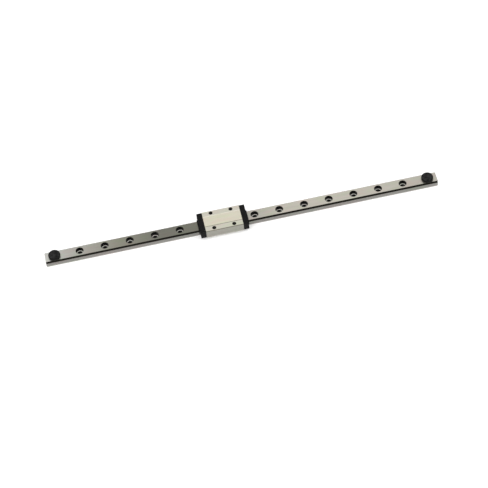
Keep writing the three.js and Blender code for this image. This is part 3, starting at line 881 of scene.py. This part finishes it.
def screw_clearances(bm, side_x, inner, outer):
    ends = (inner - side_x * OVERSHOOT, outer + side_x * OVERSHOOT)
    for side_y in (-1, 1):
        add_bore(bm, SCREW_CLEARANCE_RADIUS, ends, (0, side_y * SCREW_Y, SCREW_Z), 0, 40)


def face_recesses(bm, side_x, outer):
    """The screw heads' recesses and the lubrication port, in the cap's outer face."""
    past = outer + side_x * OVERSHOOT
    ends = (outer - side_x * SCREW_RECESS_DEPTH, past)
    for side_y in (-1, 1):
        add_bore(bm, SCREW_RECESS_RADIUS, ends, (0, side_y * SCREW_Y, SCREW_Z), 0, 40)
    add_bore(bm, PORT_RADIUS, (outer - side_x * PORT_DEPTH, past), (0, 0, PORT_Z), 0, 28)


def make_cap(side, side_x):
    """A moulded end cap with its ball turns, recessed screws and a lubrication port."""
    node = f"end_cap_{side}"
    low, high = corners(node)
    bm = bmesh.new()
    bar_along_x(bm, cap_outline(low, high), lambda first, second: 0, low.x, high.x, CAP_EDGE, 0)
    cap = to_object(bm, f"cap_{side}", ["cap_plastic"])
    inner, outer = (low.x, high.x) if side_x > 0 else (high.x, low.x)
    recesses = [
        (turn_tunnels, (inner,)),
        (guide_pockets, (inner,)),
        (wire_pockets, (side_x,)),
        (screw_clearances, (side_x, inner, outer)),
        (face_recesses, (side_x, outer)),
    ]
    for add_tools, where in recesses:
        tool = bmesh.new()
        add_tools(tool, *where)
        cut(cap, to_object(tool, "cap_tools", ["cap_plastic"]))
    hand_over(cap, "carriage", node)


def seal_outline(low, high):
    """The seal's section, close round the rail's top and reaching into its tracks."""
    wall = RAIL_HIGH.y + SEAL_GAP
    angle = math.degrees(math.acos((TRACK_Y - wall) / SEAL_TONGUE_RADIUS))
    tongue = arc((TRACK_Y, TRACK_Z), SEAL_TONGUE_RADIUS, 180 - angle, 180 + angle, 10)
    right = [
        (wall, RAIL_HIGH.z + SEAL_GAP, 0.2),
        *[(y, z, 0) for y, z in tongue],
        (wall, low.z, 0.15),
        (high.y, low.z, 0.4),
        (high.y, SEAL_SHOULDER, 0.8),
        (SEAL_TOP_HALF, high.z, 0.8),
    ]
    return rounded(around(right), 5)


def make_seal(side):
    node = f"end_seal_{side}"
    low, high = corners(node)
    bm = bmesh.new()
    bar_along_x(bm, seal_outline(low, high), lambda first, second: 0, low.x, high.x, SEAL_EDGE, 0)
    seal = to_object(bm, f"seal_{side}", ["seal_rubber"])
    hand_over(seal, "carriage", node)


def screw_profile(side_x, tip, face):
    """A small pan-head screw as (radius, x), with ridges for its thread."""
    seat = face - side_x * SCREW_HEAD_HEIGHT
    head = SCREW_HEAD_RADIUS
    shank = SCREW_SHANK_RADIUS
    profile = [(0, tip), (shank - SCREW_POINT, tip), (shank, tip + side_x * 0.3)]
    for k in range(SCREW_RIDGES):
        radius = shank if k % 2 else shank - RIDGE_DEPTH
        profile.append((radius, tip + side_x * (0.4 + RIDGE_STEP * k)))
    profile += [(shank, seat), (head - 0.05, seat), (head, seat + side_x * 0.06)]
    profile += [(head, face - side_x * 0.35), (head - 0.1, face - side_x * 0.15)]
    profile += [(head - 0.35, face - side_x * 0.03), (0.6, face), (0, face)]
    return profile if side_x > 0 else profile[::-1]


def make_cap_screw(side, side_x, depth_name, side_y):
    """A cap screw with a cross recess in its head."""
    node = f"cap_screw_{side}_{depth_name}"
    low, high = corners(node)
    tip, face = (low.x, high.x) if side_x > 0 else (high.x, low.x)
    profile = screw_profile(side_x, tip, face)
    y, z = side_y * SCREW_Y, SCREW_Z
    bm = bmesh.new()
    turned(bm, profile, (0, y, z), [0] * len(profile), 32, "X")
    screw = to_object(bm, f"screw_{side}_{depth_name}", ["screw_steel"])
    for half_y, half_z in ((CROSS_NARROW, CROSS_LONG), (CROSS_LONG, CROSS_NARROW)):
        tool = bmesh.new()
        near = (face - CROSS_DEPTH, y - half_y, z - half_z)
        add_box(tool, near, (face + CROSS_DEPTH, y + half_y, z + half_z))
        cut(screw, to_object(tool, "cross_tool", ["screw_steel"]))
    hand_over(screw, "carriage", node)


# ---------------------------------------------------------------- inside the carriage


def add_ball(bm, centre):
    profile = arc((0, 0), BALL_RADIUS, -90, 90, BALL_STEPS)
    turned(bm, profile, centre, [0] * BALL_STEPS, BALL_SEGMENTS)


def make_ball_row(kind, depth_name, y):
    """The straight row of balls between rail and block, or in a return bore."""
    node = f"{kind}_balls_{depth_name}"
    bm = bmesh.new()
    for i in range(ROW_BALLS):
        add_ball(bm, (CARRIAGE_X + (i - (ROW_BALLS - 1) / 2) * ROW_PITCH, y, TRACK_Z))
    row = to_object(bm, f"{kind}_row_{depth_name}", ["ball_steel"])
    hand_over(row, "carriage", node, 60)


def make_turn(side, side_x, depth_name, side_y):
    """The balls that are going round one turn of a cap."""
    node = f"turn_balls_{side}_{depth_name}"
    bm = bmesh.new()
    for step in (-1, 0, 1):
        angle = step * TURN_STEP_RADIANS
        x = CARRIAGE_X + side_x * (BLOCK_END + TURN_RADIUS * math.cos(angle))
        add_ball(bm, (x, side_y * TURN_Y + TURN_RADIUS * math.sin(angle), TRACK_Z))
    balls = to_object(bm, f"turn_{side}_{depth_name}", ["ball_steel"])
    hand_over(balls, "carriage", node, 60)


def make_wire(depth_name, side_y):
    """The retainer wire: straight behind the loaded row, each end bent into its cap."""
    bend = arc((WIRE_LEG_X - WIRE_BEND, WIRE_Y + WIRE_BEND), WIRE_BEND, -90, 0, 6)
    right = [*bend, (WIRE_LEG_X, WIRE_LEG_END_Y)]
    path = right[::-1] + [(-x, y) for x, y in right]
    bm = bmesh.new()
    tube(bm, [(CARRIAGE_X + x, side_y * y, TRACK_Z) for x, y in path], WIRE_RADIUS, 12)
    wire = to_object(bm, f"wire_{depth_name}", ["wire_steel"])
    hand_over(wire, "carriage", f"retainer_wire_{depth_name}", 50)


def finish_guides():
    """The CAD guides stay as they are and only get their material."""
    for name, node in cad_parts.items():
        if name.startswith("return_guide"):
            node.data.materials.clear()
            node.data.materials.append(MATERIALS["guide_plastic"])


# ---------------------------------------------------------------- assembly

SIDES = {"left": -1, "right": 1}
DEPTHS = {"front": -1, "back": 1}

make_camera()
make_studio()
make_floor()
make_rail()
make_block()
for side_name, sign_x in SIDES.items():
    make_stop(side_name)
    make_cap(side_name, sign_x)
    make_seal(side_name)
    for depth, sign_y in DEPTHS.items():
        make_cap_screw(side_name, sign_x, depth, sign_y)
        make_turn(side_name, sign_x, depth, sign_y)
for depth, sign_y in DEPTHS.items():
    make_ball_row("loaded", depth, sign_y * TRACK_Y)
    make_ball_row("return", depth, sign_y * RETURN_Y)
    make_wire(depth, sign_y)
finish_guides()
